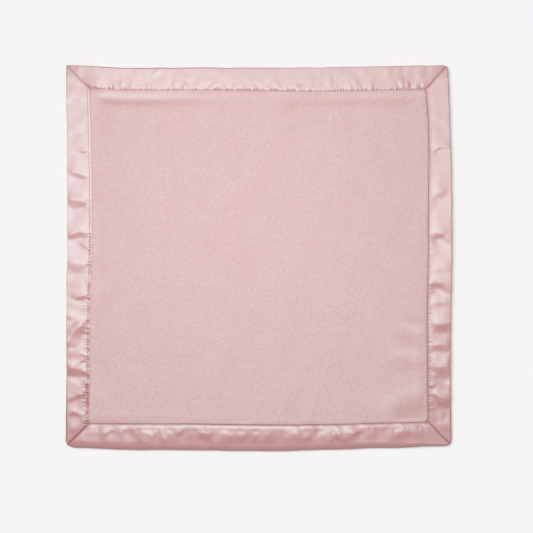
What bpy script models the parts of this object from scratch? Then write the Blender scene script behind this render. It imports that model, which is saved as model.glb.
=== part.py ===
"""Comfort blanket: a plush fleece square bound in folded satin, lying flat.

Blender 4.5, metres, +Z up. The blanket lies on its back at Z = 0, its box centred over the origin, with the side
named top towards +Y and the side named right towards +X. Round the edge, places are given by two distances: along
a side, clockwise from its middle, and depth, which is how far in from the outer fold a point lies.
"""

import math

import bmesh
import bpy
from mathutils import Matrix, Vector

# The blanket as a whole
BLANKET_SIDE = 0.356
HALF_SIDE = BLANKET_SIDE / 2
GAP = 0.0003  # clearance between pieces that touch

# The satin binding, folded round the edge
SATIN_THICKNESS = 0.0003
BINDING_WIDTH = 0.022
BINDING_HEIGHT = 0.0055
FOLD_REACH = 0.0045  # how far in the round of the outer fold runs
HEM_DEPTH = 0.007  # satin turned under along each inner edge
STITCH_INSET = 0.0022  # from the inner edge to the topstitching
FRONT_DIP = 0.0012  # how far the topstitching pulls the front down
BACK_RISE = 0.0008  # how far it pulls the back up
MITRE_SETBACK = GAP / math.sqrt(2)  # each strip's end stops this far short of the mitre line
MITRE_ZONE = 0.028  # the end of a strip, where its cross lines turn to follow the mitre
STATION_PITCH = 0.014  # most distance between two cross lines of a strip
STATION_LEAST = STATION_PITCH / 6

# The sewing thread
THREAD_DIAMETER = 0.0003
THREAD_PITCH = 0.012  # distance between two points of a thread's run
STITCH_TURN = 0.001  # the topstitching rounds each corner over this much of its run

# The fleece panel
FLEECE_HEIGHT = 0.005
FLEECE_ROLL = 0.0006  # extra height where the pile swells beside the binding
FLEECE_ROLL_DEPTH = 0.004  # from the binding's inner edge to the top of that swelling
FLEECE_SHOULDER = 0.0012  # from the binding's inner edge to the foot of the swelling
FLEECE_SHOULDER_SHARE = 0.9  # the foot's height, of the field's height
FLEECE_EDGE_INSET = 0.0018  # the cut edge stops this far short of the outer fold
FLEECE_EDGE_THICKNESS = 0.0024
FIELD_LINE_SHARES = (0.07, 0.2, 0.45, 0.72)  # rings of the field, from the swelling to the centre

# How the cloth lies: each side drifts off its straight line. Shares of EDGE_DRIFT, outwards, at even places
# clockwise along the side, corners included.
EDGE_DRIFT = 0.005
EDGE_DRIFT_SHARES = {
    "top": (0.04, -0.42, -0.42, -0.48, -0.42, -0.2, -0.04),
    "right": (-0.68, -0.14, 0.04, 0.04, -0.14, -0.14, -0.04),
    "bottom": (-0.88, -0.68, -0.32, -0.08, -0.26, -0.32, -0.68),
    "left": (0.14, -0.04, -0.04, -0.22, -0.22, -0.04, 0.04),
}
SIDES = tuple(EDGE_DRIFT_SHARES)
CORNERS = ("top_right", "bottom_right", "bottom_left", "top_left")

# The satin's main folds, each across one strip: its place along the side, its height, its half width and its
# slant, as shares of BLANKET_SIDE, FOLD_HEIGHT, FOLD_HALF_WIDTH and BINDING_WIDTH.
FOLD_HEIGHT = 0.0014
FOLD_HALF_WIDTH = 0.0065
FOLD_SHARES = {
    "top": ((-0.26, 0.5, 1.2, 0.0), (-0.1, 0.4, 1.8, 0.0), (0.2, 0.35, 1.8, 0.0), (0.385, 0.6, 0.9, 0.2)),
    "right": (
        (-0.4, 0.55, 0.9, 0.0),
        (-0.27, 0.7, 0.9, 0.1),
        (0.0, 0.35, 1.8, 0.0),
        (0.16, 0.8, 1.0, 0.0),
        (0.215, 0.9, 1.0, 0.0),
        (0.275, 1.0, 1.0, 0.2),
        (0.36, 0.9, 0.9, -0.3),
    ),
    "bottom": ((-0.25, 0.5, 1.6, 0.0), (0.0, 0.4, 1.8, 0.0), (0.2, 0.4, 1.6, 0.0), (0.37, 0.8, 1.0, 0.2)),
    "left": (
        (-0.37, 0.9, 0.9, 0.2),
        (-0.285, 1.0, 1.0, -0.3),
        (-0.19, 0.9, 1.0, -0.4),
        (-0.08, 0.8, 1.1, 0.0),
        (0.035, 0.7, 0.9, -0.2),
        (0.13, 0.6, 0.9, 0.0),
        (0.205, 0.8, 0.8, 0.0),
        (0.385, 0.5, 0.9, 0.0),
    ),
}

# Colours as linear red, green and blue, and roughness
FLEECE_COLOUR = (0.72, 0.50, 0.51)
SATIN_COLOUR = (0.80, 0.62, 0.60)
THREAD_COLOUR = (0.74, 0.52, 0.51)
FLEECE_ROUGHNESS = 0.95
SATIN_ROUGHNESS = 0.4
THREAD_ROUGHNESS = 0.6

# Depths and heights that follow from the sizes above
STITCH_DEPTH = BINDING_WIDTH - STITCH_INSET
HEM_START = BINDING_WIDTH - HEM_DEPTH
DIP_REACH = STITCH_DEPTH - HEM_START
HALF_HEIGHT = BINDING_HEIGHT / 2
PLY_STEP = SATIN_THICKNESS + GAP  # from one ply of satin to the next
TURN_RADIUS = SATIN_THICKNESS + GAP / 2  # outer radius of the turned hem


def clear_scene():
    for obj in list(bpy.data.objects):
        bpy.data.objects.remove(obj, do_unlink=True)


def make_material(name, colour, roughness):
    material = bpy.data.materials.new(name)
    material.use_nodes = True
    shader = material.node_tree.nodes["Principled BSDF"]
    shader.inputs["Base Color"].default_value = (*colour, 1)
    shader.inputs["Roughness"].default_value = roughness
    shader.inputs["Metallic"].default_value = 0
    material.diffuse_color = (*colour, 1)
    return material


def smooth_through(shares, place):
    """The height, at a place from 0 to 1, of a smooth curve through evenly spaced shares."""
    spans = len(shares) - 1
    at = min(max(place, 0), 1) * spans
    first = min(int(at), spans - 1)
    part = at - first
    before = shares[max(first - 1, 0)]
    low = shares[first]
    high = shares[first + 1]
    after = shares[min(first + 2, spans)]
    slope = high - before
    bend = 2 * before - 5 * low + 4 * high - after
    twist = 3 * low - before - 3 * high + after
    return low + (slope * part + bend * part**2 + twist * part**3) / 2


def lay(point):
    """Moves a point of the true square to where the cloth lies."""
    x, y, z = point
    right = (x / HALF_SIDE + 1) / 2
    up = (y / HALF_SIDE + 1) / 2
    drift = {
        "top": smooth_through(EDGE_DRIFT_SHARES["top"], right),
        "right": smooth_through(EDGE_DRIFT_SHARES["right"], 1 - up),
        "bottom": smooth_through(EDGE_DRIFT_SHARES["bottom"], 1 - right),
        "left": smooth_through(EDGE_DRIFT_SHARES["left"], up),
    }
    across = right * drift["right"] - (1 - right) * drift["left"]
    along = up * drift["top"] - (1 - up) * drift["bottom"]
    return Vector((x + across * EDGE_DRIFT, y + along * EDGE_DRIFT, z))


def on_side(side, along, depth, height):
    """The point at a place along one side, a depth in from its outer fold and a height, as the cloth lies."""
    turn = Matrix.Rotation(-SIDES.index(side) * math.pi / 2, 3, "Z")
    return lay(turn @ Vector((along, HALF_SIDE - depth, height)))


def pinch(depth):
    """How much of the topstitching's pull is felt at a depth, from 0 to 1."""
    return max(0, 1 - abs(depth - STITCH_DEPTH) / DIP_REACH)


def front_height(depth):
    """The height of the satin's outer surface on the front."""
    return BINDING_HEIGHT - FRONT_DIP * pinch(depth)


def back_height(depth):
    return BACK_RISE * pinch(depth)


def front_plies(depth):
    """How thick the front satin is at a depth, hem included."""
    hem = PLY_STEP if HEM_START - GAP <= depth else 0
    return SATIN_THICKNESS + hem


def satin_section():
    """The satin's outer surface across a strip, as (depth, height) from the front hem to the back hem."""
    tip = BINDING_WIDTH - TURN_RADIUS
    hem_drop = SATIN_THICKNESS + PLY_STEP
    front = [(depth, front_height(depth) - hem_drop) for depth in (HEM_START, STITCH_DEPTH, tip)]
    front.append((BINDING_WIDTH, front_height(tip) - TURN_RADIUS))
    middle = (HEM_START + FOLD_REACH) / 2
    front += [(depth, front_height(depth)) for depth in (tip, STITCH_DEPTH, HEM_START, middle, FOLD_REACH)]
    for degrees in (60, 20, -20, -60):
        turn = math.radians(degrees)
        front.append((FOLD_REACH * (1 - math.cos(turn)), HALF_HEIGHT * (1 + math.sin(turn))))
    back = [(depth, back_height(depth)) for depth in (FOLD_REACH, HEM_START, STITCH_DEPTH, tip)]
    back.append((BINDING_WIDTH, back_height(tip) + TURN_RADIUS))
    back += [(depth, back_height(depth) + hem_drop) for depth in (tip, STITCH_DEPTH, HEM_START)]
    return front + back


def fold_lift(side, along, depth):
    """How far the folds of one strip lift its front at a place."""
    across = min(depth / STITCH_DEPTH, 1)
    lift = 0
    for place_share, height_share, width_share, slant_share in FOLD_SHARES[side]:
        slant = slant_share * (depth - BINDING_WIDTH / 2)
        off = abs(along - place_share * BLANKET_SIDE - slant)
        near = max(0, 1 - off / (width_share * FOLD_HALF_WIDTH))
        lift += height_share * FOLD_HEIGHT * math.sin(near * math.pi / 2) ** 2
    return lift * math.sin(across * math.pi)


def strip_stations(side):
    """Places along a strip for its cross lines: its ends, its folds, and enough between them."""
    corner = HALF_SIDE - MITRE_ZONE
    marks = [-corner, corner, HALF_SIDE]
    for place_share, _, width_share, _ in FOLD_SHARES[side]:
        middle = place_share * BLANKET_SIDE
        half = width_share * FOLD_HALF_WIDTH
        marks += [middle - half, middle, middle + half]
    places = [-HALF_SIDE]
    for mark in sorted(marks):
        reach = mark - places[-1]
        if reach < STATION_LEAST:
            continue
        steps = math.ceil(reach / STATION_PITCH)
        start = places[-1]
        places += [start + reach * step / steps for step in range(1, steps + 1)]
    return places


def mitred(along, depth):
    """Where a cross line lies along a strip at a depth, once the strip's ends are cut to the mitre."""
    corner = HALF_SIDE - MITRE_ZONE
    past = abs(along) - corner
    if past <= 0:
        return along
    end = HALF_SIDE - depth - MITRE_SETBACK
    return math.copysign(corner + (end - corner) * past / MITRE_ZONE, along)


def link_mesh(name, shape, material, root):
    """Makes an object of a finished bmesh, triangulated and shaded smooth, under the root."""
    bmesh.ops.recalc_face_normals(shape, faces=shape.faces)
    mesh = bpy.data.meshes.new(name)
    shape.to_mesh(mesh)
    shape.free()
    mesh.materials.append(material)
    mesh.shade_smooth()
    mesh.set_sharp_from_angle(angle=math.radians(50))
    obj = bpy.data.objects.new(name, mesh)
    bpy.context.scene.collection.objects.link(obj)
    obj.parent = root
    return obj


def make_binding(side, material, root):
    """One satin strip: a sheet with the folded section, thickened inwards, then mitred, creased and laid."""
    section = satin_section()
    stations = strip_stations(side)
    shape = bmesh.new()
    bmesh.ops.create_grid(shape, x_segments=len(stations) - 1, y_segments=len(section) - 1, size=1)
    for vert in shape.verts:
        column = round((vert.co.x + 1) / 2 * (len(stations) - 1))
        row = round((vert.co.y + 1) / 2 * (len(section) - 1))
        depth, height = section[row]
        vert.co = (stations[column], HALF_SIDE - depth, height)
    bmesh.ops.recalc_face_normals(shape, faces=shape.faces)
    crown = max(shape.faces, key=lambda face: face.calc_center_median().z)
    if crown.normal.z < 0:
        bmesh.ops.reverse_faces(shape, faces=shape.faces)
    bmesh.ops.solidify(shape, geom=shape.faces, thickness=SATIN_THICKNESS)
    for vert in shape.verts:
        along = vert.co.x
        depth = HALF_SIDE - vert.co.y
        height = vert.co.z
        if height > HALF_HEIGHT:
            height += fold_lift(side, along, depth)
        vert.co = on_side(side, mitred(along, depth), depth, height)
    bmesh.ops.triangulate(shape, faces=shape.faces)
    return link_mesh("binding_" + side, shape, material, root)


def fleece_rings():
    """Depths of the panel's rings, from the cut edge to the centre, each with its back and front height."""
    under = [FOLD_REACH, HEM_START - 4 * GAP, HEM_START - GAP, STITCH_DEPTH, BINDING_WIDTH]
    rings = [(FLEECE_EDGE_INSET, HALF_HEIGHT - FLEECE_EDGE_THICKNESS / 2, HALF_HEIGHT + FLEECE_EDGE_THICKNESS / 2)]
    for depth in under:
        plies = front_plies(depth) + GAP
        rings.append((depth, back_height(depth) + plies, front_height(depth) - plies))
    rings.append((BINDING_WIDTH + FLEECE_SHOULDER, 0, FLEECE_HEIGHT * FLEECE_SHOULDER_SHARE))
    crest = BINDING_WIDTH + FLEECE_ROLL_DEPTH
    rings.append((crest, 0, FLEECE_HEIGHT + FLEECE_ROLL))
    rings += [(crest + share * (HALF_SIDE - crest), 0, FLEECE_HEIGHT) for share in FIELD_LINE_SHARES]
    return rings


def make_fleece(material, root):
    """The plush panel: a slab that thins under the binding, with a groove at each corner for the mitre seam."""
    rings = fleece_rings()
    lines = [ring[0] - HALF_SIDE for ring in rings]
    lines += [0] + [-line for line in reversed(lines)]
    shape = bmesh.new()
    last = len(lines) - 1
    bmesh.ops.create_grid(shape, x_segments=last, y_segments=last, size=1)
    grid_place = {}
    for vert in shape.verts:
        grid_place[vert] = (round((vert.co.x + 1) / 2 * last), round((vert.co.y + 1) / 2 * last))
    corner_faces = {1: [], -1: []}
    for face in shape.faces:
        centre = face.calc_center_median()
        corner_faces[1 if centre.x * centre.y > 0 else -1].append(face)
    for way, faces in corner_faces.items():
        for face in faces:
            ends = sorted(face.verts, key=lambda vert: vert.co.x + way * vert.co.y)
            bmesh.ops.connect_verts(shape, verts=[ends[0], ends[-1]])
    raised = bmesh.ops.extrude_face_region(shape, geom=shape.faces[:])
    tops = [item for item in raised["geom"] if isinstance(item, bmesh.types.BMVert)]
    bottoms = list(grid_place)
    by_place = {(vert.co.x, vert.co.y): vert for vert in tops}
    tops = [by_place[vert.co.x, vert.co.y] for vert in bottoms]
    groove = THREAD_DIAMETER + GAP
    for bottom, top in zip(bottoms, tops):
        column, row = grid_place[bottom]
        ring = min(column, row, last - column, last - row)
        back, front = (0, FLEECE_HEIGHT) if ring == len(rings) else rings[ring][1:]
        if column in (row, last - row) and back > 0:
            back += groove
            front -= groove
        bottom.co = lay((lines[column], lines[row], back))
        top.co = lay((lines[column], lines[row], front))
    return link_mesh("fleece_panel", shape, material, root)


def link_thread(name, points, cyclic, material, root):
    """A run of thread: a thin tube through the given points."""
    curve = bpy.data.curves.new(name, "CURVE")
    curve.dimensions = "3D"
    curve.bevel_depth = THREAD_DIAMETER / 2
    curve.bevel_resolution = 0
    curve.use_fill_caps = not cyclic
    spline = curve.splines.new("POLY")
    spline.points.add(len(points) - 1)
    for knot, point in zip(spline.points, points):
        knot.co = (*point, 1)
    spline.use_cyclic_u = cyclic
    curve.materials.append(material)
    obj = bpy.data.objects.new(name, curve)
    bpy.context.scene.collection.objects.link(obj)
    obj.parent = root
    return obj


def make_topstitch(name, height, material, root):
    """One thread of the topstitching: a closed run round the binding, in the groove that it pulls."""
    end = HALF_SIDE - STITCH_DEPTH - STITCH_TURN
    steps = math.ceil(2 * end / THREAD_PITCH)
    points = []
    for side in SIDES:
        for step in range(steps + 1):
            points.append(on_side(side, end * (2 * step / steps - 1), STITCH_DEPTH, height))
    return link_thread(name, points, True, material, root)


def make_mitre_seam(side, corner, material, root):
    """The thread that joins two strips at a mitre: inside the fold, round the panel's corner, front to back."""
    clear = SATIN_THICKNESS + GAP + THREAD_DIAMETER / 2
    reach = HALF_HEIGHT - clear
    front = []
    for depth in (STITCH_DEPTH, HEM_START - GAP, HEM_START - 4 * GAP, FOLD_REACH):
        inwards = front_plies(depth) + GAP + THREAD_DIAMETER / 2
        front.append((depth, front_height(depth) - inwards, back_height(depth) + inwards))
    route = [(depth, high) for depth, high, _ in front]
    for degrees in (60, 30, 0, -30, -60):
        turn = math.radians(degrees)
        depth = FOLD_REACH - (FOLD_REACH - clear) * math.cos(turn)
        route.append((depth, HALF_HEIGHT + reach * math.sin(turn)))
    route += [(depth, low) for depth, _, low in reversed(front)]
    points = [on_side(side, HALF_SIDE - depth, depth, height) for depth, height in route]
    return link_thread("mitre_seam_" + corner, points, False, material, root)


def centre_over_origin(pieces):
    """Moves every piece alike, so that the box of the binding is centred over the origin."""
    corners = [vert.co for piece in pieces if piece.type == "MESH" for vert in piece.data.vertices]
    middle = [(min(co[axis] for co in corners) + max(co[axis] for co in corners)) / 2 for axis in (0, 1)]
    for piece in pieces:
        piece.data.transform(Matrix.Translation((-middle[0], -middle[1], 0)))


def main():
    clear_scene()
    root = bpy.data.objects.new("comfort_blanket", None)
    bpy.context.scene.collection.objects.link(root)
    pieces = [make_fleece(make_material("plush_fleece", FLEECE_COLOUR, FLEECE_ROUGHNESS), root)]
    for side in SIDES:
        satin = make_material("satin_" + side, SATIN_COLOUR, SATIN_ROUGHNESS)
        pieces.append(make_binding(side, satin, root))
    for side, corner in zip(SIDES, CORNERS):
        seam_thread = make_material("seam_thread_" + corner, THREAD_COLOUR, THREAD_ROUGHNESS)
        pieces.append(make_mitre_seam(side, corner, seam_thread, root))
    rise = GAP + THREAD_DIAMETER / 2
    needle = make_material("needle_thread", THREAD_COLOUR, THREAD_ROUGHNESS)
    pieces.append(make_topstitch("topstitch_needle_thread", front_height(STITCH_DEPTH) + rise, needle, root))
    bobbin = make_material("bobbin_thread", THREAD_COLOUR, THREAD_ROUGHNESS)
    pieces.append(make_topstitch("topstitch_bobbin_thread", back_height(STITCH_DEPTH) - rise, bobbin, root))
    centre_over_origin(pieces)


main()
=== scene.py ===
"""Comfort blanket: the looks of a plush fleece square bound in folded satin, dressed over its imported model.

Metres, +Z up. The blanket lies on its back at Z = 0, its box centred over the origin, with the side named top
towards +Y and the side named right towards +X. Round the edge, places are given by two distances: along a side,
clockwise from its middle, and depth, which is how far in from the outer fold a point lies.
"""

import math

import bmesh
import bpy
import numpy as np
from bpy.props import FloatProperty, FloatVectorProperty, PointerProperty
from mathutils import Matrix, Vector


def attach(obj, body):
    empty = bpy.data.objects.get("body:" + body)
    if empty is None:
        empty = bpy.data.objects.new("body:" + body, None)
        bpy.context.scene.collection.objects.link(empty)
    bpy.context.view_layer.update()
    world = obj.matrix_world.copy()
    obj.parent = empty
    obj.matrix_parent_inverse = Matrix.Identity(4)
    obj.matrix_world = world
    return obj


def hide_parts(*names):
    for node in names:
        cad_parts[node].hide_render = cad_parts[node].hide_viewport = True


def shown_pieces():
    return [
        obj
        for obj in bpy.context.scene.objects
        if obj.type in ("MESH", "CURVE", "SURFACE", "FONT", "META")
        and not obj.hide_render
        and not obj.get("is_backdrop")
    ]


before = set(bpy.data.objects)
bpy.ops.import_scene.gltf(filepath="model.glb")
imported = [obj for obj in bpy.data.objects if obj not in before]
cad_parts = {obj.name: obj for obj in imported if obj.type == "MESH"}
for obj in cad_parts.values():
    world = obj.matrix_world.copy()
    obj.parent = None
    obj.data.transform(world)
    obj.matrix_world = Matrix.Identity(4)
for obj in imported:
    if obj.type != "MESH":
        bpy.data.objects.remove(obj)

bl_info = {
    "name": "Comfort Blanket",
    "version": (1, 0, 0),
    "blender": (4, 5, 0),
    "location": "3D View > Sidebar > Comfort Blanket",
    "description": "Makes a plush comfort blanket with a folded, mitred and topstitched satin binding",
    "category": "Object",
}

BODY = "root"
MM = 0.001

# The blanket as a whole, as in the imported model
BLANKET_SIDE = 0.356
HALF_SIDE = BLANKET_SIDE / 2
GAP = 0.0003  # clearance between pieces that touch
SIDES = ("top", "right", "bottom", "left")
CORNERS = ("top_right", "bottom_right", "bottom_left", "top_left")
CORNER_WAYS = ((1, 1), (1, -1), (-1, -1), (-1, 1))
WAYS_UP = {"top": (0, -1), "right": (-1, 0), "bottom": (0, 1), "left": (1, 0)}  # +Y, as along and depth

# How the cloth lies: each side drifts off its straight line. Shares of EDGE_DRIFT, outwards, at even places
# clockwise along the side, corners included.
EDGE_DRIFT = 0.005
EDGE_DRIFT_SHARES = {
    "top": (0.04, -0.42, -0.42, -0.48, -0.42, -0.2, -0.04),
    "right": (-0.68, -0.14, 0.04, 0.04, -0.14, -0.14, -0.04),
    "bottom": (-0.88, -0.68, -0.32, -0.08, -0.26, -0.32, -0.68),
    "left": (0.14, -0.04, -0.04, -0.22, -0.22, -0.04, 0.04),
}
CORNER_PULL = 0.0016  # how far the softest corner is rounded off
BAND_DRIFT = 0.001  # how much wider than even the binding lies where its inner edge drifts furthest in
BAND_DRIFT_SHARES = {
    "top": (0, 0, 0, 0.1, 1.0, 1.3, 0.7),
    "right": (0, -1.3, -0.4, 0, 0, -0.4, -0.3),
    "bottom": (0.8, 0.5, 0.7, 1.6, 1.6, 1.5, 0.4),
    "left": (0, 0, 0.4, 1.0, 1.3, 1.1, 0.2),
}
EDGE_SHIFT = 0.001  # how much further in the outer fold's edge lies where it is drawn in most
EDGE_SHIFT_SHARES = {
    "top": (0.2, 0.35, 0.1, 0, 0, 0, 0),
    "right": (0.3, 1.0, 0.5, 0.4, 0.4, 0.3, 0.1),
    "bottom": (-0.1, -0.9, -0.9, -0.9, -0.8, -0.7, -0.3),
    "left": (0, 0, 0, 0, 0.1, 0.5, 0.3),
}
CORNER_PULL_SHARES = (0.5, 0.8, 1.0, 0.15)
CORNER_REACH = 0.004

# The satin binding
SATIN_THICKNESS = 0.0003
BINDING_WIDTH = 0.022
BINDING_HEIGHT = 0.0055
HEM_DEPTH = 0.007  # satin turned under along each inner edge
HEM_START = BINDING_WIDTH - HEM_DEPTH
STITCH_INSET = 0.0022
STITCH_DEPTH = BINDING_WIDTH - STITCH_INSET
PLY_STEP = SATIN_THICKNESS + GAP
TURN_RADIUS = SATIN_THICKNESS + GAP / 2
TIP_DEPTH = BINDING_WIDTH - TURN_RADIUS
HEM_DROP = SATIN_THICKNESS + PLY_STEP
FOLD_MIDDLE = 0.0022  # height of the outermost line of the fold
FOLD_REACH = 0.0062  # how far in the round of the outer fold runs where it is broadest
FOLD_REACH_SHARES = {
    "top": (0.15, 0.2, 0.18, 0.15, 0.12, 0.12, 0.13),
    "right": (0.13, 0.11, 0.11, 0.11, 0.11, 0.14, 0.3),
    "bottom": (0.3, 0.8, 0.95, 1, 0.95, 0.9, 0.6),
    "left": (0.4, 0.13, 0.08, 0.07, 0.07, 0.08, 0.13),
}
EDGE_WAVE = 0.0003  # how far the outer edge wavers
MITRE_ZONE = 0.028
MITRE_SETBACK = 0.00008
CREASE_REACH = 0.0009
SATIN_STEP = 0.00045  # how finely a strip is divided along its length
BACK_RISE = 0.0008
BACK_RISE_REACH = 0.0048

# The satin's folds. Each lies along a straight line: the place and depth of its one end, the place and depth of
# its other end, its height, and its half width at each end. Places are shares of BLANKET_SIDE from the side's
# middle as the cloth lies, depths shares of BINDING_WIDTH, and heights shares of the fold height, less than
# nothing where the satin is creased down. Half widths are in shares of FOLD_HALF_WIDTH.
FOLD_HALF_WIDTH = 0.003
CRINKLE_WIDTH = 0.0023
FOLD_WANDER = 0.0008  # how far a fold's line wavers
RIDGE_ROUND = 1.6  # how blunt the crest of a ridge is
CREASE_SHARP = 0.6  # how round a crease is where it starts, in half widths
CREASE_SOFT = 1.2  # and where it ends
CREASE_RISE = 0.014  # how far from a crease the satin is level again
CREASE_SPREAD = 0.6  # how much softer a crease's ends are, for each part of the way from its line
CREASE_LIMIT = 0.0028  # creases that meet are together no deeper than this
FOLD_END = 0.0016  # how far a fold takes to run out at its ends
FOLD_HOLDS = {"top": 0.45, "right": 0.45, "bottom": 0.9, "left": 0.45}  # how much the stitches hold down
FOLD_STRENGTHS = {"top": 1, "right": 1, "bottom": 1.15, "left": 1}
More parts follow.
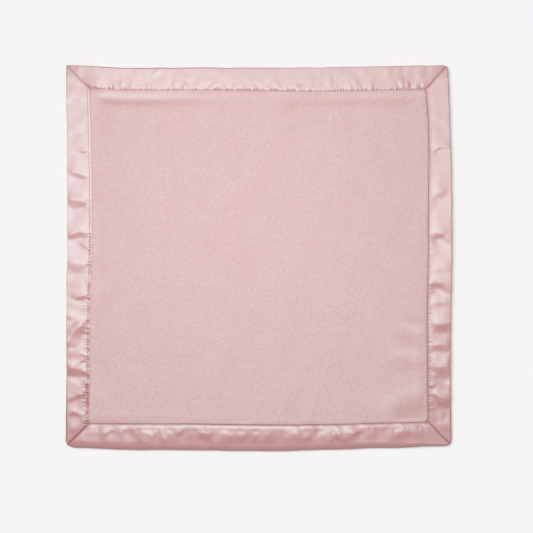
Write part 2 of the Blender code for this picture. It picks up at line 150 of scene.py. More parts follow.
FOLD_SHARES = {
    "top": (
        (-0.44, 0.93, -0.398, 0.97, -1.0, 0.5, 0.3),
        (-0.274, 0.42, -0.253, 0.21, -0.2, 0.8, 0.6),
        (-0.199, 0.79, -0.181, 0.5, -0.15, 0.8, 0.8),
        (-0.098, 0.75, -0.09, 0.42, -0.1, 0.8, 0.8),
        (0.042, 0.75, 0.05, 0.3, -0.1, 0.8, 0.8),
        (0.185, 0.8, 0.192, 0.5, -0.15, 0.5, 0.7),
        (0.255, 0.85, 0.257, 0.5, -0.15, 0.5, 0.7),
        (0.371, 0.9, 0.376, 0.58, -0.3, 0.5, 0.7),
        (0.387, 0.9, 0.389, 0.65, -0.25, 0.4, 0.5),
        (0.399, 0.9, 0.397, 0.7, -0.2, 0.4, 0.45),
        (0.405, 0.33, 0.42, 0.63, -0.25, 0.7, 0.7),
    ),
    "right": (
        (-0.351, 0.82, -0.357, 0.44, -0.2, 0.4, 0.4),
        (-0.289, 0.9, -0.292, 0.73, -0.4, 0.3, 0.3),
        (-0.276, 0.82, -0.282, 0.56, -0.5, 0.35, 0.45),
        (-0.282, 0.56, -0.283, 0.1, -0.35, 0.45, 0.6),
        (-0.155, 0.86, -0.159, 0.69, -0.3, 0.3, 0.5),
        (-0.159, 0.69, -0.162, 0.31, -0.45, 1.1, 1.2),
        (-0.056, 0.92, -0.059, 0.69, -0.7, 0.7, 1.0),
        (-0.059, 0.69, -0.054, 0.4, -0.8, 1.0, 1.0),
        (-0.054, 0.4, -0.04, 0.08, -0.5, 1.0, 1.2),
        (-0.007, 0.94, -0.007, 0.69, -0.3, 0.3, 0.3),
        (0.034, 0.86, 0.037, 0.15, -0.25, 0.75, 0.75),
        (0.072, 0.9, 0.067, 0.65, -0.7, 0.7, 1.1),
        (0.067, 0.65, 0.074, 0.4, -0.9, 1.1, 1.2),
        (0.074, 0.4, 0.09, 0.08, -0.6, 1.2, 1.2),
        (0.091, 0.9, 0.089, 0.69, -0.4, 0.3, 0.25),
        (0.108, 0.77, 0.106, 0.19, 0.4, 1.0, 1.0),
        (0.122, 0.82, 0.124, 0.2, -0.3, 0.9, 0.9),
        (0.156, 0.8, 0.158, 0.2, 0.3, 1.2, 1.2),
        (0.181, 0.82, 0.184, 0.03, -0.95, 1.4, 1.7),
        (0.212, 0.86, 0.215, 0.1, 0.5, 1.2, 1.2),
        (0.235, 0.85, 0.236, 0.1, -0.6, 1.0, 1.1),
        (0.266, 0.8, 0.262, 0.1, 0.6, 1.3, 1.4),
        (0.293, 0.65, 0.302, 0.05, -0.9, 1.5, 2.2),
        (0.292, 0.88, 0.291, 0.65, -0.4, 0.5, 0.6),
        (0.303, 0.8, 0.304, 0.62, 0.35, 0.5, 0.5),
        (0.331, 0.92, 0.332, 0.7, -0.7, 0.4, 0.5),
        (0.327, 0.13, 0.329, 0.02, 0.5, 0.8, 0.8),
        (0.351, 0.85, 0.344, 0.6, 0.5, 0.6, 0.8),
        (0.358, 0.92, 0.367, 0.6, -0.9, 0.6, 1.0),
        (0.367, 0.6, 0.379, 0.1, -0.9, 1.0, 1.7),
        (0.408, 0.85, 0.412, 0.35, 0.6, 1.0, 1.2),
        (0.384, 0.7, 0.391, 0.1, -0.6, 1.2, 1.5),
        (0.43, 0.6, 0.45, 0.3, -0.4, 1.0, 1.2),
        (0.474, 0.12, 0.475, 0.04, 0.4, 0.5, 0.5),
    ),
    "bottom": (
        (0.429, 0.92, 0.401, 0.46, 0.5, 0.6, 0.9),
        (0.485, 0.12, 0.405, 0.16, -0.6, 0.75, 0.75),
        (0.41, 0.25, 0.18, 0.22, -0.25, 0.4, 0.3),
        (0.39, 0.67, 0.37, 0.71, -0.5, 0.75, 0.75),
        (0.38, 0.54, 0.362, 0.25, 0.9, 0.9, 0.9),
        (0.354, 0.75, 0.341, 0.77, -0.4, 0.35, 0.35),
        (0.336, 0.8, 0.326, 0.75, -0.4, 0.35, 0.35),
        (0.31, 0.38, 0.287, 0.75, 0.6, 1.1, 1.1),
        (0.274, 0.38, 0.263, 0.71, -0.5, 0.75, 0.75),
        (0.251, 0.38, 0.227, 0.71, 0.6, 1.0, 1.0),
        (0.212, 0.63, 0.194, 0.79, -0.5, 0.6, 0.5),
        (0.186, 0.38, 0.175, 0.71, 0.4, 0.9, 0.9),
        (0.157, 0.5, 0.126, 0.46, -0.7, 1.25, 1.25),
        (0.118, 0.29, 0.082, 0.75, 0.9, 0.65, 0.8),
        (0.1, 0.25, 0.068, 0.62, 0.5, 0.6, 0.7),
        (0.049, 0.38, 0.03, 0.65, -0.35, 0.8, 0.8),
        (0.023, 0.33, 0.007, 0.68, 0.5, 0.4, 0.45),
        (-0.008, 0.21, -0.034, 0.54, -0.45, 1.3, 1.3),
        (-0.068, 0.46, -0.102, 0.71, 0.7, 1.0, 1.0),
        (-0.066, 0.75, -0.077, 0.69, -0.3, 0.35, 0.35),
        (-0.117, 0.33, -0.138, 0.46, -0.4, 1.0, 1.0),
        (-0.159, 0.67, -0.187, 0.33, 0.7, 0.9, 0.9),
        (-0.197, 0.63, -0.218, 0.29, -0.7, 0.9, 0.9),
        (-0.226, 0.33, -0.244, 0.79, 0.7, 0.75, 0.75),
        (-0.249, 0.54, -0.267, 0.75, -0.6, 0.6, 0.6),
        (-0.278, 0.46, -0.304, 0.71, 0.4, 1.0, 1.0),
        (-0.355, 0.54, -0.384, 0.38, -0.5, 1.25, 1.25),
        (-0.397, 0.46, -0.418, 0.71, 0.5, 1.0, 1.0),
    ),
    "left": (
        (0.413, 0.02, 0.406, 0.77, -0.3, 1.0, 0.6),
        (0.328, 0.1, 0.326, 0.61, -0.2, 0.6, 0.5),
        (0.271, 0.61, 0.279, 0.9, -0.8, 0.35, 0.45),
        (0.216, 0.15, 0.208, 0.88, -0.6, 0.8, 0.5),
        (0.199, 0.0, 0.199, 0.2, -0.3, 1.0, 0.75),
        (0.141, 0.02, 0.136, 0.77, -0.9, 1.3, 0.7),
        (0.049, 0.02, 0.0585, 0.44, -0.85, 0.9, 0.8),
        (0.0585, 0.44, 0.061, 0.92, -0.75, 0.8, 0.5),
        (0.035, 0.52, 0.023, 0.86, -0.3, 0.45, 0.35),
        (-0.027, 0.02, -0.029, 0.75, -0.45, 1.8, 1.2),
        (-0.107, 0.36, -0.104, 0.94, -0.7, 0.5, 0.45),
        (-0.16, 0.02, -0.156, 0.3, -0.6, 1.0, 0.75),
        (-0.19, 0.1, -0.164, 0.77, 0.5, 0.8, 0.6),
        (-0.231, 0.08, -0.203, 0.48, -0.95, 2.0, 1.8),
        (-0.203, 0.48, -0.18, 0.9, -0.95, 1.8, 1.2),
        (-0.259, 0.05, -0.249, 0.7, -0.7, 2.0, 1.6),
        (-0.288, 0.19, -0.265, 0.82, -0.4, 0.9, 0.5),
        (-0.294, 0.02, -0.2985, 0.5, -1.2, 1.3, 0.9),
        (-0.2985, 0.5, -0.308, 0.94, -1.0, 0.9, 0.55),
        (-0.316, 0.1, -0.332, 0.6, 0.5, 1.0, 1.0),
        (-0.332, 0.6, -0.343, 0.94, 0.5, 1.0, 0.7),
        (-0.34, 0.06, -0.358, 0.52, -0.15, 0.6, 0.5),
        (-0.374, 0.06, -0.361, 0.52, -0.7, 1.0, 0.7),
        (-0.361, 0.52, -0.354, 0.94, -0.9, 0.6, 0.45),
        (-0.367, 0.61, -0.363, 0.94, 0.4, 0.45, 0.35),
        (-0.385, 0.1, -0.385, 0.45, 0.3, 1.0, 0.75),
        (-0.407, 0.1, -0.405, 0.6, -0.5, 1.0, 0.75),
        (-0.397, 0.36, -0.425, 0.94, 0.6, 0.6, 0.5),
        (-0.446, 0.1, -0.449, 0.5, -0.5, 1.5, 1.0),
    ),
}

# How firmly the stitches gather each side's satin, at even places clockwise along it; how far the satin dips into
# the mitre at its two ends, less than nothing where it stands up there; and how its inner edge rolls down.
PUCKER_SHARES = {
    "top": (0.7, 0.8, 0.85, 0.8, 0.7, 0.8, 1.2),
    "right": (0.15, 0.12, 0.15, 0.25, 0.4, 0.6, 0.6),
    "bottom": (0.15, 0.15, 0.15, 0.1, 0.15, 0.1, 0.1),
    "left": (1.7, 1.7, 1.1, 0.6, 0.3, 0.08, 0.05),
}
MITRE_SHARES = {"top": (0.2, 0.5), "right": (0.3, 0.7), "bottom": (0.15, 0.5), "left": (1.0, 0.25)}
CRINKLE_LEAST = {"top": 0, "right": 0, "bottom": 0.6, "left": 0}
CRINKLE_SETBACKS = {"top": 0, "right": 0, "bottom": 0.003, "left": 0}
STITCH_DEPTHS = {"top": 0.0207, "right": 0.021, "bottom": 0.0212, "left": 0.0196}  # where the stitches lie
RIPPLE_SHARES = {
    "top": (0.4, 0.5, 0.5, 0.5, 0.6, 0.7, 0.8),
    "right": (0.5, 0.4, 0.5, 0.8, 1.2, 1.6, 1.6),
    "bottom": (1.6, 2.2, 2.4, 2.4, 2.4, 2.4, 2.0),
    "left": (1.6, 1.6, 1.4, 1.0, 0.6, 0.4, 0.4),
}
ROLL_SHARES = {"top": 0, "right": -0.15, "bottom": 0.8, "left": -0.35}
ROLL_REACH = 0.004
LIP_FALLS = {"top": 0, "right": 0, "bottom": 0, "left": 0.18}  # how steeply the satin falls past its stitches
TILT = 0.0006  # how much the band's outer edge lies above its middle, and its inner edge below it
TILT_SHARES = {
    "top": (1.5, 0.5, -0.3, -0.7, -0.3, 0.4, 1.2),
    "right": (1.2, 0.9, 1.2, 1.4, 0.9, 0.35, 0.5),
    "bottom": (0.6, 0.2, -0.3, -1.7, -1.1, -0.1, 0.2),
    "left": (1.1, 0.95, 0.75, 0.8, 0.9, 0.95, 1.5),
}
TILT_EASE = 0.012  # how far from a corner the tilt is full

# The fleece panel
FLEECE_HEIGHT = 0.005
FLEECE_EDGE_INSET = 0.0018
FLEECE_EDGE_THICKNESS = 0.0024
UNDER_SATIN_SLACK = 0.0024  # the pile is pressed this much below the satin's plies
SHOULDER_DROP = 0.0016  # how far the pile falls where it meets the binding
SHOULDER_REACH = 0.0009
SHOULDER_SHARES = (-0.2, 0.8, 0.75, -0.25)
EDGE_PAINTED_SHADE_SHARES = (-0.2, -1.1, -1.2, -0.2)  # painted shade on the pile's colour where each side's binding presses it
PILE_ROLL_SHARES = {
    "top": (1.0, 1.2, 0.5, 0.1, 0.2, 0.35, 0.3),
    "right": (0.2, 0.1, 0.1, 0.1, 0.2, 0.4, 0.2),
    "bottom": (0, 0, 0, 0, 0.1, 0.2, 0.3),
    "left": (0.4, 0.2, 0.2, 0.2, 0.2, 0.3, 0.5),
}

# The pile's own folds, laid out like the satin's: the x and y of one end, those of the other end, the height and
# the half width at each end. Places are shares of BLANKET_SIDE from the panel's middle.
PILE_FOLD_SHARES = (
    (-0.195, 0.405, -0.195, 0.36, -0.4, 0.9, 0.7),
    (0.07, 0.375, 0.1, 0.402, -0.8, 1.1, 1.1),
    (0.11, 0.402, 0.28, 0.4, -0.5, 1.2, 1.2),
    (0.33, 0.4, 0.39, 0.385, -0.8, 1.5, 2.0),
    (-0.425, 0.315, -0.37, 0.375, -0.3, 1.2, 1.2),
    (-0.41, 0.215, -0.4, 0.2, -0.4, 1.5, 1.5),
    (-0.425, 0.15, -0.4, 0.155, -0.6, 1.3, 1.3),
    (-0.425, -0.035, -0.4, -0.035, -0.6, 1.3, 1.3),
    (-0.43, 0.01, -0.41, 0.015, 0.4, 1.5, 1.5),
    (-0.425, -0.15, -0.385, -0.12, -0.2, 1.2, 1.2),
    (-0.43, -0.1, -0.39, -0.075, 0.6, 1.4, 1.2),
    (-0.435, -0.35, -0.37, -0.385, 0.9, 1.5, 1.5),
    (-0.41, -0.38, -0.38, -0.375, -0.4, 1.2, 1.2),
    (-0.31, -0.325, -0.29, -0.33, 0.4, 3.0, 3.0),
    (0.39, -0.168, 0.435, -0.185, -1.5, 1.2, 1.0),
    (0.37, -0.186, 0.435, -0.203, 1.4, 1.3, 1.2),
    (0.37, -0.218, 0.43, -0.248, -1.2, 1.6, 1.2),
    (0.35, -0.25, 0.435, -0.278, 1.3, 1.5, 1.3),
    (0.36, -0.29, 0.43, -0.293, -1.2, 1.5, 1.2),
    (0.31, -0.402, 0.365, -0.372, 1.4, 2.0, 1.8),
    (0.365, -0.372, 0.43, -0.35, 1.5, 1.8, 1.5),
    (0.355, -0.43, 0.44, -0.395, -2.6, 2.0, 1.5),
    (0.245, 0.38, 0.24, 0.23, -0.25, 1.5, 1.5),
    (0.37, 0.33, 0.375, 0.0, -0.3, 2.5, 2.5),
    (-0.05, 0.02, -0.06, -0.07, -0.25, 1.8, 1.8),
    (-0.115, 0.04, -0.12, 0.0, -0.25, 1.8, 1.8),
    (-0.43, 0.433, -0.4, 0.431, -1.0, 0.6, 0.4),
)
PILE_FOLD_END = 0.006
INNER_CORNER_RADIUS = 0.0045
ROLL_DISTANCE = 0.008
ROLL_SPREAD = 0.0033
PAINTED_LIGHT_WAY = (-0.35, 0.9)  # the way to the light: pile sloping open to this side gets painted light
PAINTED_SLOPE_LIGHT = 2.4  # how much painted light a slope that way gets, and painted shade one facing away, for each part of rise
PAINTED_FOLD_SHADE = 0.13  # how much painted shade the pile's creases get, and painted light its ridges

# Camera and light, from the photograph: straight above, a little off the blanket's centre
CAMERA_HEIGHT = 2.0
CAMERA_PLACE = (0.0071, -0.0081)
VIEW_WIDTH = 0.4914  # how much the picture's width takes in at the blanket's height
SENSOR_WIDTH = 36
KEY_DISTANCE = 0.71
KEY_ELEVATION = math.radians(82)
KEY_TURN = math.radians(24)  # from straight above the top side, towards the left
KEY_WIDTH = 0.26
KEY_DEPTH = 0.22
FLOOR_KEY_ELEVATION = math.radians(72)
FLOOR_KEY_TURN = math.radians(56)
FLOOR_KEY_SPREAD = math.radians(46)
FILL_SHARE = 0.25  # of the light that reaches a level surface, the part that comes from all round
FLOOR_SIDE = 12


def hex_colour(code):
    """An sRGB hex colour, such as "#f5f5f5", as linear red, green and blue."""
    values = [int(code[start : start + 2], 16) / 255 for start in (1, 3, 5)]
    return tuple(v / 12.92 if v <= 0.04045 else ((v + 0.055) / 1.055) ** 2.4 for v in values)


def length_property(name, description, default):
    return FloatProperty(name=name, description=description, default=default, subtype="DISTANCE", unit="LENGTH")


def colour_property(name, description, code):
    return FloatVectorProperty(
        name=name, description=description, default=hex_colour(code), subtype="COLOR", min=0, max=1
    )


class BlanketSizes(bpy.types.PropertyGroup):
    """Sizes that change how the cloth lies and how it is sewn."""

    fold_height: length_property("Fold height", "Height of the binding's fullest ridges", 0.75 * MM)
    crease_fall: length_property("Crease fall", "How far the binding's deepest creases fall", 2.7 * MM)
    crinkle_height: length_property("Crinkle height", "Height of the small creases by the stitches", 0.3 * MM)
    pile_folds: length_property("Pile folds", "Height of the plush panel's fullest folds", 0.3 * MM)
    ripple_height: length_property("Ripple height", "Height of the satin's faint ripples", 0.12 * MM)
    pucker_depth: length_property("Pucker depth", "How far each stitch pulls the satin down", 0.55 * MM)
    crease_depth: length_property("Mitre crease", "How far the satin dips into a mitre seam", 1.0 * MM)
    inner_drop: length_property("Inner roll", "How far the satin rolls down at its inner edge", 1.1 * MM)
    stitch_pitch: length_property("Stitch pitch", "Distance from one needle hole to the next", 2.6 * MM)
    thread_diameter: length_property("Thread", "Diameter of the sewing thread", 0.3 * MM)
    pile_roll: length_property("Pile roll", "How far the pile swells beside the binding", 0.8 * MM)
    pile_waves: length_property("Pile waves", "Height of the plush panel's soft waves", 0.15 * MM)


class BlanketColours(bpy.types.PropertyGroup):
    """Colours of the cloth, the thread and the floor."""

    fleece: colour_property("Fleece", "Pile of the plush panel", "#eccecd")
    fleece_shade: colour_property("Fleece shade", "Pile of the plush panel where it parts", "#ddb9b8")
    satin: colour_property("Satin", "Satin's dye, under its gloss", "#bf7170")
    satin_shade: colour_property("Satin shade", "Satin's dye between its floats", "#b96a69")
    thread: colour_property("Thread", "Sewing thread", "#bf8481")
    floor: colour_property("Floor", "Floor and surround", "#f5f5f5")


def smooth_through(shares, place):
    """The value, at places from 0 to 1, of a smooth curve through evenly spaced shares."""
    values = np.asarray(shares, float)
    spans = len(values) - 1
    at = np.clip(place, 0, 1) * spans
    first = np.minimum(at.astype(int), spans - 1)
    part = at - first
    before = values[np.maximum(first - 1, 0)]
    low = values[first]
    high = values[first + 1]
    after = values[np.minimum(first + 2, spans)]
    slope = high - before
    bend = 2 * before - 5 * low + 4 * high - after
    twist = 3 * low - before - 3 * high + after
    return low + (slope * part + bend * part**2 + twist * part**3) / 2


def drift(x, y):
    """The true square's points where the cloth lies, before the blanket is centred."""
    right = (x / HALF_SIDE + 1) / 2
    up = (y / HALF_SIDE + 1) / 2
    out_top = smooth_through(EDGE_DRIFT_SHARES["top"], right)
    out_right = smooth_through(EDGE_DRIFT_SHARES["right"], 1 - up)
    out_bottom = smooth_through(EDGE_DRIFT_SHARES["bottom"], 1 - right)
    out_left = smooth_through(EDGE_DRIFT_SHARES["left"], up)
    moved_x = x + EDGE_DRIFT * (right * out_right - (1 - right) * out_left)
    moved_y = y + EDGE_DRIFT * (up * out_top - (1 - up) * out_bottom)
    for (way_x, way_y), share in zip(CORNER_WAYS, CORNER_PULL_SHARES):
        away = np.hypot(x - way_x * HALF_SIDE, y - way_y * HALF_SIDE)
        pull = share * CORNER_PULL * np.exp(-((away / CORNER_REACH) ** 2))
        moved_x = moved_x - way_x * pull
        moved_y = moved_y - way_y * pull
    return moved_x, moved_y


def side_point(side, along, depth):
    """The true square's x and y at places along a side, at depths in from its outer fold."""
    out = HALF_SIDE - depth
    turned = {"top": (along, out), "right": (out, -along), "bottom": (-along, -out), "left": (-out, along)}
    return turned[side]


def outline_middle():
    """The middle of the box round the drifted outline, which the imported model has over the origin."""
    along = np.linspace(-HALF_SIDE, HALF_SIDE, 200)
    edges = [drift(*side_point(side, along, 0 * along)) for side in SIDES]
    x = np.concatenate([edge[0] for edge in edges])
    y = np.concatenate([edge[1] for edge in edges])
    return (x.min() + x.max()) / 2, (y.min() + y.max()) / 2


MIDDLE = outline_middle()


def lay(x, y):
    """The true square's points as the centred cloth lies, the binding's inner edge drifting in and out."""
    moved_x, moved_y = drift(x, y)
    alongs = {"top": x, "right": -y, "bottom": -x, "left": y}
    depths = {"top": HALF_SIDE - y, "right": HALF_SIDE - x, "bottom": HALF_SIDE + y, "left": HALF_SIDE + x}
    for side in SIDES:
        inwards = BAND_DRIFT * smooth_through(BAND_DRIFT_SHARES[side], alongs[side] / BLANKET_SIDE + 0.5)
        inwards = inwards * bell(depths[side] - BINDING_WIDTH, 0.3 * BINDING_WIDTH)
        moved_x = moved_x + inwards * {"right": -1, "left": 1}.get(side, 0)
        moved_y = moved_y + inwards * {"top": -1, "bottom": 1}.get(side, 0)
    return moved_x - MIDDLE[0], moved_y - MIDDLE[1]


def waves(seed, x, y, longest, shortest, count=24):
    """Smooth noise from -1 to 1 or so: waves of many directions added up, their lengths within two bounds."""
    draw = np.random.default_rng(seed)
    total = np.zeros(np.broadcast(x, y).shape)
    for _ in range(count):
        way = draw.uniform(0, 2 * math.pi)
        length = draw.uniform(shortest, longest)
        phase = draw.uniform(0, 2 * math.pi)
        turn = 2 * math.pi / length
        total = total + np.sin(turn * (x * math.cos(way) + y * math.sin(way)) + phase)
    return total * math.sqrt(2 / count) / 2


def bell(distance, half_width):
    return np.exp(-0.5 * (distance / half_width) ** 2)


def fold(x, y, line, width, up=None, end=FOLD_END):
    """What share of its height a fold has at points: a tent with a blunt crest, lower where it is narrower. Given
    the way up, it is a crease: the satin falls evenly across its width, sharply at first, and is slowly level again
    on both sides."""
    from_x, from_y, to_x, to_y, first, last = line
    run = math.hypot(to_x - from_x, to_y - from_y)
    way_x = (to_x - from_x) / run
    way_y = (to_y - from_y) / run
    down = (x - from_x) * way_x + (y - from_y) * way_y
    off = (y - from_y) * way_x - (x - from_x) * way_y
    taper = first + (last - first) * np.clip(down / run, 0, 1)
    half = taper * width
    if up is None:
        reach = end
        shape = np.exp(RIDGE_ROUND - np.hypot(off / half, RIDGE_ROUND))
    else:
        rise = up[1] * way_x - up[0] * way_y
        below = off / half * -math.copysign(1, rise)
        reach = end + CREASE_SPREAD * np.abs(off)
        level = np.maximum(np.abs(off) - half, 0) / (CREASE_RISE * (0.3 + 0.7 * abs(rise)))
        shape = (np.hypot(below + 1, CREASE_SHARP) - np.hypot(below - 1, CREASE_SOFT)) / 4 * np.exp(-level)
    ends = (1 + np.tanh(down / reach)) * (1 + np.tanh((run - down) / reach)) / 4
    return shape * ends * (taper / max(first, last) if up is None else np.sqrt(taper))


def folds(sizes, side, along, depth):
    """How far the folds of one strip lift its front."""
    seed = 120 + 2 * SIDES.index(side)
    lift = np.zeros(np.broadcast(along, depth).shape)
    x, y = lay(*side_point(side, along, depth))
    along = {"top": x, "right": -y, "bottom": -x, "left": y}[side]
    along = along + FOLD_WANDER * waves(seed, along, depth, 0.03, 0.012)
    depth = depth + FOLD_WANDER * waves(seed + 1, along, depth, 0.03, 0.012)
    for place, deep, to_place, to_deep, height, first, last in FOLD_SHARES[side]:
        ends = (place * BLANKET_SIDE, deep * BINDING_WIDTH, to_place * BLANKET_SIDE, to_deep * BINDING_WIDTH)
        up = WAYS_UP[side] if height < 0 else None
        full = sizes.fold_height if height > 0 else sizes.crease_fall
        lift += height * full * fold(along, depth, (*ends, first, last), FOLD_HALF_WIDTH, up)
    lift = np.where(lift < 0, CREASE_LIMIT * np.tanh(lift / CREASE_LIMIT), lift)
    near = np.clip((depth - 0.6 * BINDING_WIDTH) / (0.3 * BINDING_WIDTH), 0, 1)
    return FOLD_STRENGTHS[side] * lift * (1 - FOLD_HOLDS[side] * near * near * (3 - 2 * near))


def crinkles(sizes, side, along, depth):
    """Small creases that run out of the stitches into the band, higher where the stitches gather most."""
    draw = np.random.default_rng(20 + SIDES.index(side))
    lift = np.zeros(np.broadcast(along, depth).shape)
    count = round(BLANKET_SIDE / (3.4 * MM))
    for _ in range(count):
        start = draw.uniform(-0.46, 0.46)
        lean = draw.uniform(-0.6, 0.6)
        length = draw.uniform(1.5, 6.5) * MM
        height = draw.choice((-1, 1)) * draw.uniform(0.3, 1)
        first = draw.uniform(0.25, 0.45)
        gather = smooth_through(PUCKER_SHARES[side], np.array(start + 0.5)) ** 1.5 + CRINKLE_LEAST[side]
        place = start * BLANKET_SIDE
        row = STITCH_DEPTHS[side] - CRINKLE_SETBACKS[side]
        line = (place, row, place + lean * length, row - length, first, 1.3 * first)
        lift += height * gather * fold(along, depth, line, CRINKLE_WIDTH)
    return sizes.crinkle_height * lift


def puckers(sizes, side, along, depth):
    """How far the stitches pull the front down: a faint groove with a dimple at each needle hole, each dimple as
    deep and as long as it happens to fall, and drawn out into the band."""
    pitch = sizes.stitch_pitch
    row = STITCH_DEPTHS[side]
    gather = smooth_through(PUCKER_SHARES[side], along / BLANKET_SIDE + 0.5)
    draw = np.random.default_rng(40 + SIDES.index(side))
    count = round(BLANKET_SIDE / pitch) + 4
    deep = draw.uniform(0.1, 1.5, count)
    long = draw.uniform(0.6, 1.5, count)
    shift = draw.uniform(-0.2, 0.2, count)
    nearest = np.round(along / pitch).astype(int)
    dimples = np.zeros(np.broadcast(along, depth).shape)
    for step in (-1, 0, 1):
        hole = nearest + step
        index = np.clip(hole + count // 2, 0, count - 1)
        off = along - (hole + shift[index]) * pitch
        into_band = bell(np.maximum(row - depth, 0), 0.0011 * long[index])
        into_lip = bell(np.maximum(depth - row, 0), 0.0008)
        dimples += deep[index] * bell(off, 0.22 * pitch) * into_band * into_lip
    groove = 0.1 * bell(depth - row, 0.0007)
    return sizes.pucker_depth * gather * (dimples + groove)


def ripples(sizes, side, along, depth):
    """Faint waves of the satin, longer across the strip than along it."""
    seed = 60 + SIDES.index(side)
    share = smooth_through(RIPPLE_SHARES[side], along / BLANKET_SIDE + 0.5)
    return sizes.ripple_height * share * waves(seed, along, 0.7 * depth, 0.024, 0.008, 40)


def crease(sizes, side, along, depth):
    """How far the satin dips into the mitre seams at both ends of a strip."""
    first, last = MITRE_SHARES[side]
    off = np.maximum(HALF_SIDE - depth - np.abs(along), 0) / math.sqrt(2)
    return sizes.crease_depth * np.where(along < 0, first, last) * np.exp(-((off / CREASE_REACH) ** 1.2))


def front_surface(sizes, side, along, depth):
    """The height of the satin's outer surface on the front."""
    roll = ROLL_SHARES[side] * np.clip(1 - (BINDING_WIDTH - depth) / ROLL_REACH, 0, None) ** 1.6
    ease = np.clip((HALF_SIDE - np.abs(along)) / TILT_EASE, 0, 1)
    height = BINDING_HEIGHT - sizes.inner_drop * roll
    tilt = smooth_through(TILT_SHARES[side], along / BLANKET_SIDE + 0.5)
    height = height + TILT * tilt * ease * (1 - 2 * depth / BINDING_WIDTH)
    height = height + folds(sizes, side, along, depth) + crinkles(sizes, side, along, depth)
    height = height + ripples(sizes, side, along, depth)
    height = height - LIP_FALLS[side] * np.maximum(depth - STITCH_DEPTHS[side], 0)
    return height - puckers(sizes, side, along, depth) - crease(sizes, side, along, depth)


def back_surface(sizes, side, along, depth):
    """The height of the satin's outer surface on the back."""
    pinch = np.clip(1 - np.abs(depth - STITCH_DEPTHS[side]) / BACK_RISE_REACH, 0, None)
    seed = 80 + SIDES.index(side)
    slack = np.abs(waves(seed, along, 0.5 * depth, 0.03, 0.01)) * bell(depth - 0.012, 0.005)
    return BACK_RISE * pinch + 2 * sizes.ripple_height * slack + 0.3 * np.abs(crease(sizes, side, along, depth))


def fold_reach(side, along):
    """How far in the round of the outer fold runs."""
    return FOLD_REACH * smooth_through(FOLD_REACH_SHARES[side], along / BLANKET_SIDE + 0.5)


def satin_rows(sizes, side, along):
    """Depths and heights of the satin's outer surface, a row for each step from the raw edge of the front hem,
    round the outer fold, to the raw edge of the back hem, and a column for each place along the side."""
    reach = fold_reach(side, along)
    level = 0 * along
    rows = []

    def front(depth):
        return front_surface(sizes, side, mitred(along, depth), depth)

    def back(depth):
        return back_surface(sizes, side, mitred(along, depth), depth)

    hem_depths = np.array((HEM_START, STITCH_DEPTHS[side], TIP_DEPTH))
    rows += [(depth + level, front(depth + level) - HEM_DROP) for depth in hem_depths]
    for degrees in (-50, 0, 45):
        turn = math.radians(degrees)
        centre = front(TIP_DEPTH + level) - TURN_RADIUS
        rows.append((TIP_DEPTH + TURN_RADIUS * math.cos(turn) + level, centre + TURN_RADIUS * math.sin(turn)))
    near_stitch = list(np.linspace(TIP_DEPTH, STITCH_DEPTH - 0.003, 13))
    for depth in near_stitch:
        rows.append((depth + level, front(depth + level)))
    last = near_stitch[-1]
    for share in (*np.linspace(0, 0.97, 21)[1:], 0.99, 1):
        depth = last + (reach - last) * share
        rows.append((depth, front(depth)))
    top = front(reach) - FOLD_MIDDLE
    for degrees in (76, 60, 42, 24, 8):
        turn = math.radians(degrees)
        rows.append((reach * (1 - math.cos(turn)), FOLD_MIDDLE + top * math.sin(turn)))
    low = FOLD_MIDDLE - back(reach)
    for degrees in (-15, -45, -70):
        turn = math.radians(degrees)
        rows.append((reach * (1 - math.cos(turn)), FOLD_MIDDLE + low * math.sin(turn)))
    for share in np.linspace(0, 1, 6):
        depth = reach + (TIP_DEPTH - reach) * share
        rows.append((depth, back(depth)))
    for degrees in (-45, 0, 50):
        turn = math.radians(degrees)
        centre = back(TIP_DEPTH + level) + TURN_RADIUS
        rows.append((TIP_DEPTH + TURN_RADIUS * math.cos(turn) + level, centre + TURN_RADIUS * math.sin(turn)))
    rows += [(depth + level, back(depth + level) + HEM_DROP) for depth in hem_depths[::-1]]
    depths = np.array([row[0] for row in rows])
    wave = EDGE_WAVE * waves(100 + SIDES.index(side), along, level, 0.05, 0.012)
    wave = wave + EDGE_SHIFT * smooth_through(EDGE_SHIFT_SHARES[side], along / BLANKET_SIDE + 0.5)
    ease = np.clip((HALF_SIDE - np.abs(along)) / 0.01, 0, 1)
    return depths + wave * ease * np.exp(-depths / 0.004), np.array([row[1] for row in rows])


def mitred(along, depth):
    """Where a cross line lies along a strip at a depth, once the strip's ends are cut to the mitre."""
    corner = HALF_SIDE - MITRE_ZONE
    past = np.abs(along) - corner
    end = HALF_SIDE - depth - MITRE_SETBACK
    moved = corner + (end - corner) * past / MITRE_ZONE
    return np.where(past <= 0, along, np.copysign(moved, along))


def link_piece(name, shape, material):
    """Makes a piece of a finished bmesh: smooth, in one material, riding on the blanket's body."""
    mesh = bpy.data.meshes.new(name)
    shape.to_mesh(mesh)
    shape.free()
    mesh.materials.append(material)
    mesh.shade_smooth()
    mesh.set_sharp_from_angle(angle=math.radians(60))
    piece = bpy.data.objects.new(name, mesh)
    bpy.context.scene.collection.objects.link(piece)
    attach(piece, BODY)
    return piece


def add_node(tree, kind, inputs=(), **settings):
    """Adds a node: settings are its own properties, and inputs the values or the links of its sockets."""
    node = tree.nodes.new("ShaderNode" + kind)
    for name, value in settings.items():
        setattr(node, name, value)
    for name, value in dict(inputs).items():
        if isinstance(value, bpy.types.NodeSocket):
            tree.links.new(value, node.inputs[name])
        else:
            node.inputs[name].default_value = value
    return node


def new_material(name):
    """A material with an empty Principled shader, and that shader."""
    material = bpy.data.materials.new(name)
    material.use_nodes = True
    return material, material.node_tree, material.node_tree.nodes["Principled BSDF"]


